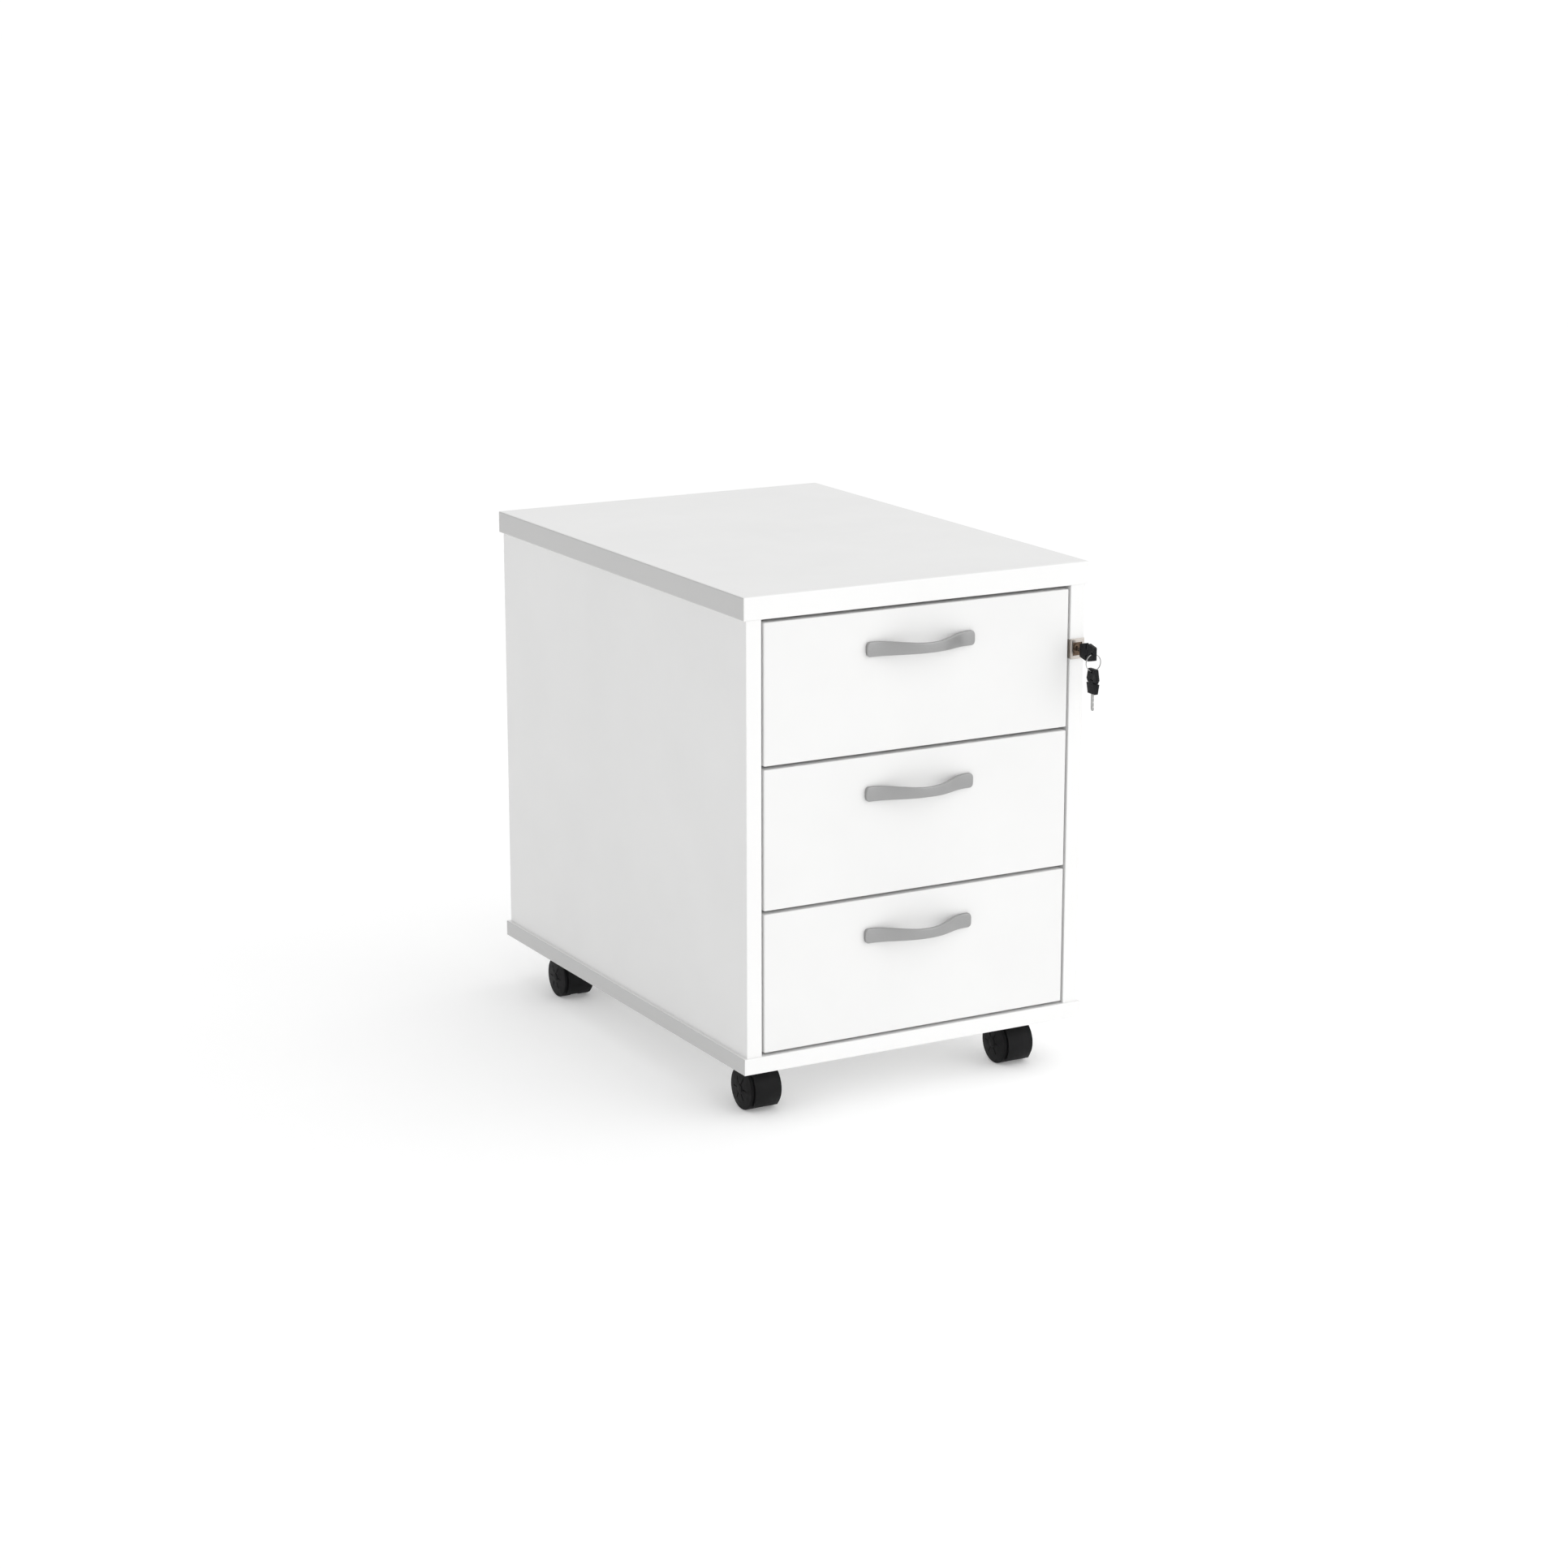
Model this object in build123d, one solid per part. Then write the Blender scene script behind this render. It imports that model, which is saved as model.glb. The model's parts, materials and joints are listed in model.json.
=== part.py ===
from build123d import *
import math
import os

# Three-drawer mobile pedestal on twin-wheel castors, in white faced board.
# X runs along the drawer fronts, Y from front to back, Z up from the floor.
# The origin is on the floor, at the middle of the whole object's box.

# ---------------------------------------------------------------- driving dimensions (mm)

# Carcass
overall_width = 426.0
overall_depth = 600.0
overall_height = 570.0
top_thickness = 25.0
board = 18.0
top_overhang_side = 4.0
top_overhang_front = 2.0
top_overhang_back = 4.0
top_edge_radius = 1.6
board_edge_radius = 0.8

# Drawer fronts and boxes
front_side_gap = 3.0
front_bottom_gap = 3.0
front_between_gap = 4.0
front_top_gap = 4.0
front_edge_radius = 1.2
runner_space = 12.5
sheet = 1.2
hem_width = 2.5
hem_height = 8.0
side_length = 500.0
side_foot_above_front_foot = 12.0
side_below_front_top = 33.0
bottom_flange = 14.0
front_flange = 14.0
drawer_board = 16.0
back_board_drop = 3.0

# Roller runners
drawer_travel = 375.0
roller_radius = 8.5
roller_width = 8.0
roller_clearance = 0.3
roller_pin_radius = 2.5
running_clearance = 0.05
runner_axis_above_front_foot = 26.0
runner_behind_front = 2.0
runner_front_roller_inset = 10.0
drawer_roller_inset = 16.0
runner_top_flange = 5.5
runner_bottom_flange = 10.0
drawer_rail_flange = 6.0
runner_lip_gap = 0.5
roller_rim_radius = 1.0
roller_to_flange = 2.0
front_roller_side_gap = 0.6
rear_roller_side_gap = 1.2
pin_overhang = 1.0
runner_screw_inset = 40.0

# Handles
handle_length = 132.0
handle_foot = 6.0
handle_depth = 22.0
handle_fullness = 1.1
handle_thickness = 4.5
handle_end_height = 16.0
handle_mid_height = 11.0
handle_corner_radius = 3.5
handle_edge_chamfer = 0.5
handle_below_front_top = 40.3
handle_end_bulge = 0.6
bow_steps = 11
slope_step = 0.01

# Lock and locking bar
lock_below_carcass_top = 70.7
housing_cheek = 1.0
plate_width = 17.4
plate_height = 22.5
plate_proud = 1.8
plate_edge_radius = 0.9
plate_recess_margin = 0.2
plate_recess_height = 14.5
plate_recess_depth = 1.2
housing_depth = 20.0
housing_height = 21.0
housing_wall = 2.5
cylinder_radius = 5.75
cylinder_proud = 0.5
cylinder_tail = 1.5
face_dish_depth = 0.6
face_rim = 1.1
lock_clearance = 0.15
keyway_width = 2.0
keyway_height = 5.2
follower_orbit = 4.0
follower_radius = 1.5
follower_slot_clearance = 0.25
bar_thickness = 3.0
bar_width = 8.0
bar_clearance = 0.5
bar_behind_front = 12.0
bar_above_lock = 15.0
bar_end_margin = 4.5
bar_end_room = 3.0
tab_room_half_height = 14.0
tab_room_behind_bar = 1.0
tab_half_height = 5.5
tab_half_thickness = 2.0
tab_end_wall = 3.0
slot_side_play = 0.5
lock_pin_radius = 2.5
lock_pin_gap = 1.5
catch_foot_above_runner_axis = 24.0
catch_height = 12.0
catch_depth = 4.0
catch_reach = 9.5

# Keys
blade_thickness = 1.6
blade_height = 4.4
blade_exposed = 6.9
blade_length = 19.0
blade_root = 6.0
blade_tip_flat = 0.6
head_length = 27.5
head_thickness = 3.8
head_mid_height = 19.6
head_end_height = 14.2
head_notch = 1.4
head_joint_gap = 0.3
head_tongue = 6.0
head_pin_radius = 0.8
head_pin_inset = 0.6
head_pin_end_room = 0.1
head_notch_run = 2.24
head_edge_radius = 0.6
knuckle_inset = 0.2
ring_hole_radius = 1.6
ring_hole_inset = 3.4
ring_outer_radius = 10.0
ring_wire_radius = 0.7
ring_hole_play = 0.1

# Castors
wheel_radius = 24.0
wheel_width = 15.8
wheel_inner_gap = 10.4
wheel_shoulder = 1.6
wheel_dome = 1.8
hub_across = 11.0
hub_proud = 0.5
groove_count = 6
groove_width = 1.3
groove_length = 8.0
groove_middle_radius = 10.5
groove_floor = 1.8
castor_trail = 20.0
castor_axle_radius = 2.5
castor_axle_inset = 3.6
axle_end_room = 0.3
hood_clearance = 0.8
swivel_gap = 1.4
hood_wall = 1.8
hood_width = 30.0
hood_low_angle = 42.0
hood_back_angle = 62.0
web_clearance = 0.75
ground_clearance = 7.0
boss_radius = 8.5
boss_foot_above_axle = 6.0
rib_foot_above_axle = 4.0
hood_overlap = 1.0
king_pin_radius = 3.4
king_pin_depth = 13.0
king_pin_room = 0.5
castor_plate_side = 38.0
castor_plate_thickness = 2.0
castor_plate_corner = 5.0
castor_screw_inset = 6.0
front_axle_from_front = 45.0
rear_axle_from_back = 96.0
left_castor_from_side = 38.5
right_castor_from_side = 66.5

# Fasteners
screw_radius = 1.8
screw_head_radius = 3.6
screw_head_height = 2.0
screw_length = 13.0
dowel_radius = 4.0
dowel_length = 30.0
dowel_short_end = 12.0
dowel_inset = 60.0
side_screw_above_front_foot = 45.0
side_screw_below_side_top = 12.0
bottom_screw_from_front = 80.0
bottom_screw_from_back = 90.0
back_screw_above_side_foot = 60.0
handle_screw_grip = 2.5
handle_screw_radius = 2.0
handle_screw_spread = 63.0

# How far a cutting shape runs past the face it cuts
overrun = 1.0

# ---------------------------------------------------------------- places worked out from them

half_width = overall_width / 2
carcass_half = half_width - top_overhang_side
inner_half = carcass_half - board
hood_top = 2 * wheel_radius + hood_clearance + hood_wall
base_foot = hood_top + swivel_gap + castor_plate_thickness
base_top = base_foot + board
carcass_top = overall_height - top_thickness
side_height = carcass_top - base_top

head_mid_reach = plate_proud + blade_exposed
ring_reach = head_mid_reach + head_length - ring_hole_inset
key_reach = ring_reach + max(head_end_height / 2, head_mid_height / 2)
front_reach = key_reach - top_overhang_front
top_front = -(overall_depth + front_reach) / 2 + front_reach
top_back = top_front + overall_depth
front_face = top_front + top_overhang_front
carcass_back = top_back - top_overhang_back
front_back_face = front_face + board

front_height = (side_height - front_bottom_gap - front_top_gap - 2 * front_between_gap) / 3
front_half = inner_half - front_side_gap
levels = ("lower", "middle", "upper")
sides = {"left": -1, "right": 1}

wall_outer = inner_half - runner_space
wall_inner = wall_outer - sheet
box_back = front_back_face + side_length
pin_long = roller_width + sheet + pin_overhang

runner_front = front_back_face + runner_behind_front
runner_back = runner_front + side_length
front_roller_y = runner_front + runner_front_roller_inset
rear_roller_y = box_back - drawer_roller_inset

lock_x = carcass_half - housing_wall - housing_cheek - lock_clearance - cylinder_radius
lock_z = carcass_top - lock_below_carcass_top
housing_outer = carcass_half - housing_wall
housing_back = front_face + housing_depth
bar_front = housing_back + bar_behind_front - bar_width
bar_back = bar_front + bar_width
bar_mid = (bar_front + bar_back) / 2
bar_inner = inner_half + bar_clearance
bar_outer = bar_inner + bar_thickness
half_turn_reach = follower_orbit * math.sin(math.radians(45))
lock_pin_x = wall_outer + lock_pin_gap

handle_half = handle_length / 2
head_y = front_face - plate_proud - blade_exposed
key_tip_y = head_y + blade_length


def front_foot(level):
    return base_top + front_bottom_gap + levels.index(level) * (front_height + front_between_gap)


def runner_axis(level):
    return front_foot(level) + runner_axis_above_front_foot


def lock_pin_axis(level):
    """Height of the locking bar's pin for a drawer, clear above the drawer's catch."""
    catch_top = runner_axis(level) + catch_foot_above_runner_axis + catch_height
    return catch_top + bar_clearance + lock_pin_radius


# ---------------------------------------------------------------- small builders

os.makedirs("parts", exist_ok=True)

def block(x0, x1, y0, y1, z0, z1):
    size = (abs(x1 - x0), abs(y1 - y0), abs(z1 - z0))
    return Pos((x0 + x1) / 2, (y0 + y1) / 2, (z0 + z1) / 2) * Box(*size)


def rod_x(x0, x1, y, z, radius):
    return Pos((x0 + x1) / 2, y, z) * Rot(0, 90, 0) * Cylinder(radius, abs(x1 - x0))


def rod_y(x, y0, y1, z, radius):
    return Pos(x, (y0 + y1) / 2, z) * Rot(90, 0, 0) * Cylinder(radius, abs(y1 - y0))


def rod_z(x, y, z0, z1, radius):
    return Pos(x, y, (z0 + z1) / 2) * Cylinder(radius, abs(z1 - z0))


def screw(axis, x, y, z, direction):
    """A flat-headed wood screw: the head's face is at the given point, the tip towards direction."""
    reach = direction * screw_length
    head = direction * screw_head_height
    if axis == "x":
        shank = rod_x(x, x + reach, y, z, screw_radius)
        cone = Pos(x + head / 2, y, z) * Rot(0, 90 * direction, 0)
    elif axis == "y":
        shank = rod_y(x, y, y + reach, z, screw_radius)
        cone = Pos(x, y + head / 2, z) * Rot(-90 * direction, 0, 0)
    else:
        shank = rod_z(x, y, z, z + reach, screw_radius)
        cone = Pos(x, y, z + head / 2) * Rot(90 - 90 * direction, 0, 0)
    return shank + cone * Cone(screw_head_radius, screw_radius, screw_head_height)


def cut(solid, tools):
    for tool in tools:
        solid = solid - tool
    return solid


def save(name, *solids):
    shape = solids[0] if len(solids) == 1 else Compound(children=list(solids))
    export_step(shape, f"parts/{name}.step")


# ---------------------------------------------------------------- carcass


def rounded(solid, radius):
    return fillet(solid.edges(), radius)


def dowels():
    """Dowels of the top, base and back joints, as (left and right pairs of) rods."""
    rods = []
    along = (front_face + dowel_inset, (front_face + carcass_back) / 2,
             carcass_back - board - dowel_inset)
    for sign in sides.values():
        x = sign * (inner_half + board / 2)
        for y in along:
            rods.append(rod_z(x, y, carcass_top + dowel_short_end - dowel_length,
                              carcass_top + dowel_short_end, dowel_radius))
            rods.append(rod_z(x, y, base_top - dowel_short_end,
                              base_top - dowel_short_end + dowel_length, dowel_radius))
        y = carcass_back - board / 2
        for z in (base_top + dowel_inset, (base_top + carcass_top) / 2, carcass_top - dowel_inset):
            tip = sign * (inner_half + dowel_short_end)
            rods.append(rod_x(tip, tip - sign * dowel_length, y, z, dowel_radius))
    return rods


def runner_screws():
    """Screws through each runner's web into the side panel."""
    tools = []
    for level in levels:
        for sign in sides.values():
            for y in (runner_front + runner_screw_inset, (runner_front + runner_back) / 2,
                      runner_back - runner_screw_inset):
                tools.append(screw("x", sign * (inner_half - sheet), y, runner_axis(level), sign))
    return tools


def castor_places():
    """Name, centre x and axle y of each castor."""
    left_x = -half_width + left_castor_from_side
    right_x = half_width - right_castor_from_side
    front_y = top_front + front_axle_from_front
    rear_y = top_back - rear_axle_from_back
    return (
        ("front_left", left_x, front_y),
        ("front_right", right_x, front_y),
        ("rear_left", left_x, rear_y),
        ("rear_right", right_x, rear_y),
    )


def castor_screws():
    tools = []
    reach = castor_plate_side / 2 - castor_screw_inset
    for _, x, axle_y in castor_places():
        stem_y = axle_y + castor_trail
        for dx in (-reach, reach):
            for dy in (-reach, reach):
                tools.append(screw("z", x + dx, stem_y + dy, base_foot - castor_plate_thickness, 1))
    return tools


dowel_rods = dowels()
web_screws = runner_screws()
plate_screws = castor_screws()

top_panel = rounded(
    block(-half_width, half_width, top_front, top_back, carcass_top, overall_height), top_edge_radius
)
save("top_panel", cut(top_panel, dowel_rods))

base_panel = rounded(
    block(-half_width, half_width, top_front, top_back, base_foot, base_top), board_edge_radius
)
save("base_panel", cut(base_panel, dowel_rods + plate_screws))


def side_panel(sign):
    panel = block(sign * inner_half, sign * carcass_half, front_face, carcass_back, base_top, carcass_top)
    upright = panel.edges().filter_by(Axis.Z)
    return cut(fillet(upright, board_edge_radius), dowel_rods + web_screws)


save("left_side_panel", side_panel(-1))

bar_low = lock_pin_axis("lower") - bar_end_margin
bar_high = lock_z + bar_above_lock
drop = 2 * half_turn_reach
lock_pocket = block(inner_half, housing_outer, front_face, housing_back,
                    lock_z - housing_height / 2, lock_z + housing_height / 2)
tab_pocket = block(inner_half, housing_outer, housing_back, bar_back + tab_room_behind_bar,
                   lock_z - tab_room_half_height, lock_z + tab_room_half_height)
bar_groove = block(inner_half, bar_outer + bar_clearance, bar_front - bar_clearance,
                   bar_back + bar_clearance, bar_low - drop - bar_end_room, bar_high + bar_end_room)
save("right_side_panel", cut(side_panel(1), [lock_pocket, tab_pocket, bar_groove]))

back_panel = block(-inner_half, inner_half, carcass_back - board, carcass_back, base_top, carcass_top)
save("back_panel", cut(back_panel, dowel_rods))
save("carcass_fixings", *(dowel_rods + web_screws + plate_screws))

# ---------------------------------------------------------------- runners and rollers


def runner(level, sign):
    """A fixed C-section rail with the spun pin that its front roller turns on."""
    z = runner_axis(level)
    web_inner = inner_half - sheet
    low = z - roller_radius - roller_clearance
    high = z + roller_radius + roller_clearance + runner_lip_gap
    flange_front = front_roller_y + roller_radius + roller_to_flange
    web = block(sign * web_inner, sign * inner_half, runner_front, runner_back, low - sheet, high + sheet)
    foot = block(sign * (inner_half - runner_bottom_flange), sign * web_inner,
                 flange_front, runner_back, low - sheet, low)
    lip = block(sign * (inner_half - runner_top_flange), sign * web_inner,
                flange_front, runner_back, high, high + sheet)
    pin = rod_x(sign * web_inner, sign * (web_inner - pin_long), front_roller_y, z, roller_pin_radius)
    rail = web + foot + lip + pin
    return cut(rail, web_screws)


save("drawer_runners", *[runner(level, sign) for level in levels for sign in sides.values()])


def roller(inner_x, outer_x, y, z):
    """A nylon roller with softened rims and a bore that runs on its pin."""
    tread = fillet(rod_x(inner_x, outer_x, y, z, roller_radius).edges(), roller_rim_radius)
    return tread - rod_x(inner_x, outer_x, y, z, roller_pin_radius + running_clearance)


def front_rollers(level):
    outer = inner_half - sheet - front_roller_side_gap
    z = runner_axis(level)
    return [roller(s * (outer - roller_width), s * outer, front_roller_y, z) for s in sides.values()]


def rear_rollers(level):
    inner = wall_outer + rear_roller_side_gap
    z = runner_axis(level)
    return [roller(s * inner, s * (inner + roller_width), rear_roller_y, z) for s in sides.values()]


for level in levels:
    save(f"{level}_front_rollers", *front_rollers(level))
    save(f"{level}_rear_rollers", *rear_rollers(level))

# ---------------------------------------------------------------- drawers


def handle_bow(x):
    """Distance of the bar's middle from the drawer front, across the handle."""
    span = handle_half - handle_foot
    share = min(abs(x) / span, 1.0) ** handle_fullness
    return handle_thickness / 2 + handle_depth / 2 * (1 + math.cos(math.pi * share))


def bow_side(offset):
    """One long edge of the bar seen from above, at an offset from its middle."""
    step = handle_half / bow_steps
    points = []
    for index in range(-bow_steps, bow_steps + 1):
        x = index * step
        slope = (handle_bow(x + slope_step) - handle_bow(x - slope_step)) / (2 * slope_step)
        length = math.hypot(1, slope)
        points.append((x - offset * slope / length, -handle_bow(x) - offset / length))
    return points


def handle(z):
    """A bowed flat bar, waisted in the middle, with flat feet that have rounded corners."""
    outer = bow_side(handle_thickness / 2)
    inner = bow_side(-handle_thickness / 2)
    outer_edge = Spline(*outer)
    inner_edge = Spline(*inner)
    ends = [Line(outer[0], inner[0]), Line(outer[-1], inner[-1])]
    bar = extrude(make_face([outer_edge, inner_edge] + ends), handle_end_height, both=True)
    half_end = handle_end_height / 2
    half_mid = handle_mid_height / 2
    waist = handle_half - handle_foot
    top = Spline((-waist, half_end), (-waist / 2, (half_end + half_mid) / 2), (0, half_mid),
                 (waist / 2, (half_end + half_mid) / 2), (waist, half_end),
                 tangents=((1, 0), (1, 0)))
    shoulder = handle_half - handle_corner_radius
    half_flat = half_end - handle_corner_radius
    outline = [top]
    outline.append(mirror(top, about=Plane.XZ))
    for s in (-1, 1):
        corner = handle_corner_radius * (1 - math.sqrt(0.5))
        bulge = (s * (handle_half + handle_end_bulge), 0)
        outline.append(Line((s * waist, half_end), (s * shoulder, half_end)))
        outline.append(Line((s * waist, -half_end), (s * shoulder, -half_end)))
        for t in (-1, 1):
            outline.append(ThreePointArc((s * shoulder, t * half_end),
                                         (s * (handle_half - corner), t * (half_end - corner)),
                                         (s * handle_half, t * half_flat)))
        outline.append(ThreePointArc((s * handle_half, half_flat), bulge, (s * handle_half, -half_flat)))
    front_view = Rot(90, 0, 0) * extrude(make_face(outline), handle_depth * 2)
    piece = Pos(0, front_face, z) * (bar & front_view)
    for s in (-1, 1):
        piece = piece - handle_screw(s, z)
    return piece


def handle_screw(sign, z):
    """A machine screw from inside the drawer front up into the handle's foot."""
    x = sign * handle_screw_spread
    shank = rod_y(x, front_face - handle_screw_grip, front_back_face, z, handle_screw_radius)
    head = rod_y(x, front_back_face, front_back_face + screw_head_height, z, screw_head_radius)
    return shank + head


def drawer_fasteners(level):
    """Handle screws, board screws and the rear roller's pins of one drawer."""
    foot = front_foot(level)
    low = foot + side_foot_above_front_foot
    high = foot + front_height - side_below_front_top
    handle_z = foot + front_height - handle_below_front_top
    flange_x = wall_inner - front_flange / 2
    pieces = [handle_screw(s, handle_z) for s in (-1, 1)]
    for s in (-1, 1):
        for z in (foot + side_screw_above_front_foot, high - side_screw_below_side_top):
            pieces.append(screw("y", s * flange_x, front_back_face + sheet, z, -1))
        for y in (front_back_face + bottom_screw_from_front, box_back - bottom_screw_from_back):
            pieces.append(screw("z", s * (wall_inner - bottom_flange / 2), y, low, 1))
        screw_z = low + back_screw_above_side_foot
        pieces.append(screw("x", s * wall_outer, box_back - drawer_board / 2, screw_z, -s))
        pin_z = runner_axis(level)
        pieces.append(rod_x(s * wall_inner, s * (wall_outer + pin_long), rear_roller_y, pin_z,
                            roller_pin_radius))
    return pieces


def drawer_side(level, sign, tools):
    """A folded steel side: wall, bottom flange, front flange, rail flange and top hem."""
    foot = front_foot(level)
    low = foot + side_foot_above_front_foot
    high = foot + front_height - side_below_front_top
    rail_z = runner_axis(level) + roller_radius + roller_clearance
    wall = block(sign * wall_inner, sign * wall_outer, front_back_face, box_back, low, high)
    bottom = block(sign * (wall_inner - bottom_flange), sign * wall_inner,
                   front_back_face, box_back, low, low + sheet)
    front = block(sign * (wall_inner - front_flange), sign * wall_inner,
                  front_back_face, front_back_face + sheet, low + sheet + drawer_board, high - hem_height)
    rail = block(sign * wall_outer, sign * (wall_outer + drawer_rail_flange),
                 front_back_face, box_back, rail_z, rail_z + sheet)
    hem = block(sign * wall_outer, sign * (wall_outer + hem_width - sheet),
                front_back_face, box_back, high - hem_height, high)
    piece = wall + bottom + front + rail + hem
    if sign > 0:
        catch_low = runner_axis(level) + catch_foot_above_runner_axis
        catch_front = bar_mid + lock_pin_radius + bar_clearance
        piece = piece + block(wall_outer, wall_outer + catch_reach, catch_front,
                              catch_front + catch_depth, catch_low, catch_low + catch_height)
    return cut(piece, tools)


def drawer(level):
    foot = front_foot(level)
    low = foot + side_foot_above_front_foot
    high = foot + front_height - side_below_front_top
    tools = drawer_fasteners(level)
    front = block(-front_half, front_half, front_face, front_back_face, foot, foot + front_height)
    save(f"{level}_drawer_front", cut(rounded(front, front_edge_radius), tools))
    save(f"{level}_drawer_handle", handle(foot + front_height - handle_below_front_top))
    for name, sign in sides.items():
        save(f"{level}_drawer_{name}_side", drawer_side(level, sign, tools))
    floor = low + sheet
    bottom = block(-wall_inner, wall_inner, front_back_face, box_back, floor, floor + drawer_board)
    save(f"{level}_drawer_bottom", cut(bottom, tools))
    back = block(-wall_inner, wall_inner, box_back - drawer_board, box_back,
                 floor + drawer_board, high - back_board_drop)
    save(f"{level}_drawer_back", cut(back, tools))
    save(f"{level}_drawer_fasteners", *tools)


for level in levels:
    drawer(level)

# ---------------------------------------------------------------- lock


cylinder_face = front_face - plate_proud + plate_recess_depth - cylinder_proud
cylinder_bore = rod_y(lock_x, front_face - plate_proud - overrun, housing_back + overrun, lock_z,
                      cylinder_radius + lock_clearance)
housing = block(inner_half, housing_outer, front_face, housing_back,
                lock_z - housing_height / 2, lock_z + housing_height / 2)
plate = block(carcass_half - (board + plate_width) / 2, carcass_half - (board - plate_width) / 2,
              front_face - plate_proud, front_face, lock_z - plate_height / 2, lock_z + plate_height / 2)
plate_rim = plate.faces().sort_by(Axis.Y)[0].edges()
plate = fillet(plate_rim, plate_edge_radius)
recess_half = cylinder_radius + plate_recess_margin
recess = block(lock_x - recess_half, lock_x + recess_half,
               front_face - plate_proud - overrun, front_face - plate_proud + plate_recess_depth,
               lock_z - plate_recess_height / 2, lock_z + plate_recess_height / 2)
save("lock_housing", cut(housing + plate, [cylinder_bore, recess]))

lock_cylinder = rod_y(lock_x, cylinder_face, housing_back + cylinder_tail, lock_z, cylinder_radius)
face_dish = rod_y(lock_x, cylinder_face - overrun, cylinder_face + face_dish_depth, lock_z,
                  cylinder_radius - face_rim)
lock_cylinder = lock_cylinder - face_dish
keyway = block(lock_x - keyway_width / 2, lock_x + keyway_width / 2, cylinder_face - overrun,
               key_tip_y + overrun, lock_z - keyway_height / 2, lock_z + keyway_height / 2)
follower = rod_y(lock_x - half_turn_reach, housing_back + cylinder_tail, bar_back,
                 lock_z + half_turn_reach, follower_radius)
save("lock_cylinder", (lock_cylinder - keyway) + follower)


def locking_bar():
    """A flat bar with a slotted tab for the lock's follower and one pin for each drawer."""
    piece = block(bar_inner, bar_outer, bar_front, bar_back, bar_low, bar_high)
    slot_z = lock_z + half_turn_reach
    follower_far = lock_x - half_turn_reach
    follower_near = lock_x - follower_orbit
    tab_outer = follower_far + follower_radius + tab_end_wall
    tab = block(bar_outer, tab_outer, bar_mid - tab_half_thickness, bar_mid + tab_half_thickness,
                slot_z - tab_half_height, slot_z + tab_half_height)
    slot = block(follower_near - follower_radius - slot_side_play,
                 follower_far + follower_radius + slot_side_play,
                 bar_front, bar_back, slot_z - follower_radius - follower_slot_clearance,
                 slot_z + follower_radius + follower_slot_clearance)
    piece = (piece + tab) - slot
    for level in levels:
        piece = piece + rod_x(lock_pin_x, bar_inner + bar_thickness / 2, bar_mid,
                              lock_pin_axis(level), lock_pin_radius)
    return piece


save("locking_bar", locking_bar())

# ---------------------------------------------------------------- keys


def head_slab(near_half, wide_half, far_half, shoulder, start, end):
    """Part of a key head as a flat slab in the YZ plane, between two places along Y."""
    upper = [(start, near_half), (shoulder, wide_half), (end, far_half)]
    lower = [(y, -z) for y, z in reversed(upper)]
    face = make_face(Polyline(*(upper + lower), close=True))
    slab = extrude(face, head_thickness / 2, both=True)
    slab = fillet(slab.edges().filter_by(Axis.Z), head_edge_radius)
    return Plane.YZ * slab


def key_parts():
    """Blade, inner head, outer head and hinge pin of a folding key whose head starts at y = 0."""
    wide = head_mid_height / 2
    narrow = head_end_height / 2
    notch = wide - head_notch
    joint_y = -head_length / 2
    half = head_thickness / 2
    cleared = half + head_joint_gap
    tongue = head_tongue / 2
    inner = head_slab(notch, wide, narrow, joint_y + head_notch_run, joint_y, 0)
    outer = head_slab(notch, wide, narrow, joint_y - head_notch_run, joint_y, -head_length)
    for s in (-1, 1):
        room = block(-half - overrun, half + overrun, joint_y - overrun, joint_y + cleared,
                     s * (tongue + head_joint_gap / 2), s * (wide + overrun))
        inner = inner - room
    outer = outer - block(-half - overrun, half + overrun, joint_y - cleared, joint_y + overrun,
                          -tongue - head_joint_gap / 2, tongue + head_joint_gap / 2)
    inner = inner + rod_z(0, joint_y, -tongue, tongue, half)
    knuckle_end = notch - knuckle_inset
    knuckles = [rod_z(0, joint_y, s * (tongue + head_joint_gap / 2), s * knuckle_end, half) for s in (-1, 1)]
    outer = outer + knuckles[0] + knuckles[1]
    pin_end = notch - head_pin_inset
    room_end = pin_end + head_pin_end_room
    hinge = rod_z(0, joint_y, -pin_end, pin_end, head_pin_radius)
    hinge_room = rod_z(0, joint_y, -room_end, room_end, head_pin_radius + running_clearance)
    blade = block(-blade_thickness / 2, blade_thickness / 2, -blade_root, blade_length,
                  -blade_height / 2, blade_height / 2)
    tip = blade.edges().filter_by(Axis.X).group_by(Axis.Y)[-1]
    blade = fillet(tip, blade_height / 2 - blade_tip_flat)
    hole = rod_x(-half - overrun, half + overrun, -head_length + ring_hole_inset, 0, ring_hole_radius)
    return blade, inner - blade - hinge, outer - hinge_room - hole, hinge


blade, inner_head, outer_head, hinge = key_parts()
at_lock = Pos(lock_x, head_y, lock_z)
save("key_blade", at_lock * blade, at_lock * hinge)
save("key_inner_head", at_lock * inner_head)
save("key_outer_head", at_lock * outer_head)

ring_y = head_y - head_length + ring_hole_inset
ring_mid_radius = ring_outer_radius - ring_wire_radius
ring_sag = ring_mid_radius - math.sqrt(ring_mid_radius**2 - (head_thickness / 2) ** 2)
ring_play = ring_hole_radius - ring_wire_radius - ring_sag - ring_hole_play
ring_top_z = lock_z - ring_play
ring_z = ring_top_z - ring_mid_radius
key_ring = Pos(lock_x, ring_y, ring_z) * Rot(90, 0, 0) * Torus(ring_mid_radius, ring_wire_radius)
save("key_ring", key_ring)

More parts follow.
